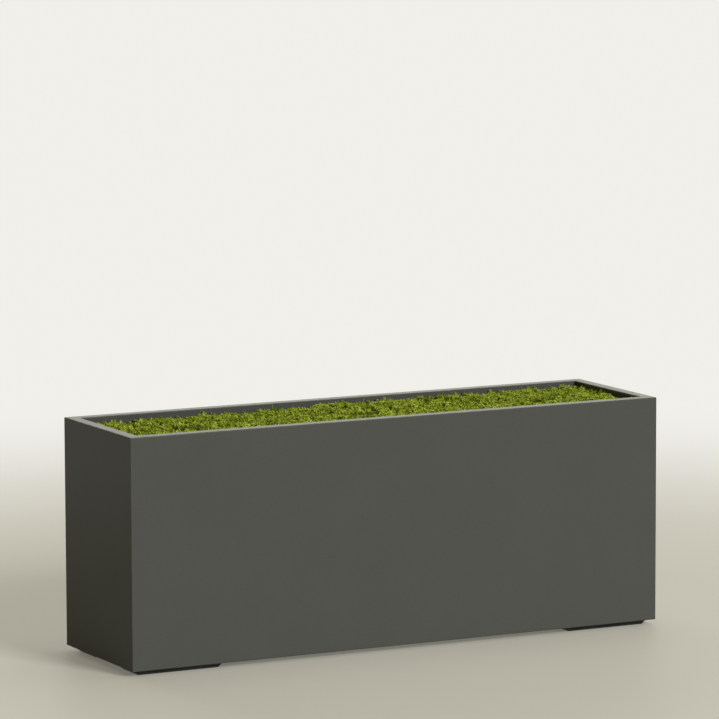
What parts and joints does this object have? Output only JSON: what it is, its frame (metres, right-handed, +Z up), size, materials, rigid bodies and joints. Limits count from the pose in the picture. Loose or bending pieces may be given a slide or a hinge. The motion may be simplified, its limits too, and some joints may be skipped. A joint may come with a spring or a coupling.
{
  "type": "rectangular planter",
  "caption": "Long low-standing box planter of folded coated sheet, with a lift-out moulded liner and a moss cover in halves that leaves round stem holes.",
  "frame": {"origin": "on the ground under the middle of the planter", "axes": "+X along the length to the right as seen from the front, +Y towards the rear, +Z up"},
  "size_m": [1, 0.27, 0.4],
  "materials": {
    "body_coat": "satin charcoal powder coat",
    "zinc_sheet": "zinc-coated sheet, matt",
    "screw_steel": "stainless steel",
    "foot_rubber": "matt black",
    "plug_rubber": "matt black",
    "liner_plastic": "matt moulded polyethylene",
    "board_plastic": "matt foamed sheet, dark brown",
    "moss": "preserved moss, matt"
  },
  "bodies": {
    "planter_body": {"front_wall": "body_coat", "rear_wall": "body_coat", "left_wall": "body_coat", "right_wall": "body_coat", "base_pan": "zinc_sheet", "base_rail_front": "zinc_sheet", "base_rail_rear": "zinc_sheet", "corner_angle_front_left": "zinc_sheet", "corner_angle_front_right": "zinc_sheet", "corner_angle_rear_right": "zinc_sheet", "corner_angle_rear_left": "zinc_sheet", "foot_front_left": "foot_rubber", "foot_front_right": "foot_rubber", "foot_rear_right": "foot_rubber", "foot_rear_left": "foot_rubber", "foot_screws": "screw_steel", "foot_nuts": "screw_steel", "pan_plugs": "plug_rubber"},
    "liner": {"liner": "liner_plastic", "liner_frame": "liner_plastic", "liner_plug": "plug_rubber"},
    "front_cover": {"cover_board_front": "board_plastic", "batten_front": "board_plastic", "moss_front": "moss"},
    "rear_cover": {"cover_board_rear": "board_plastic", "batten_rear": "board_plastic", "moss_rear": "moss"}
  },
  "joints": [
    {"name": "liner_lift", "type": "slide", "parent": "planter_body", "child": "liner", "axis": [0, 0, 1], "range_m": [0, 0.4]},
    {"name": "front_cover_lift", "type": "slide", "parent": "liner", "child": "front_cover", "axis": [0, 0, 1], "range_m": [0, 0.15]},
    {"name": "rear_cover_lift", "type": "slide", "parent": "liner", "child": "rear_cover", "axis": [0, 0, 1], "range_m": [0, 0.15]}
  ]
}
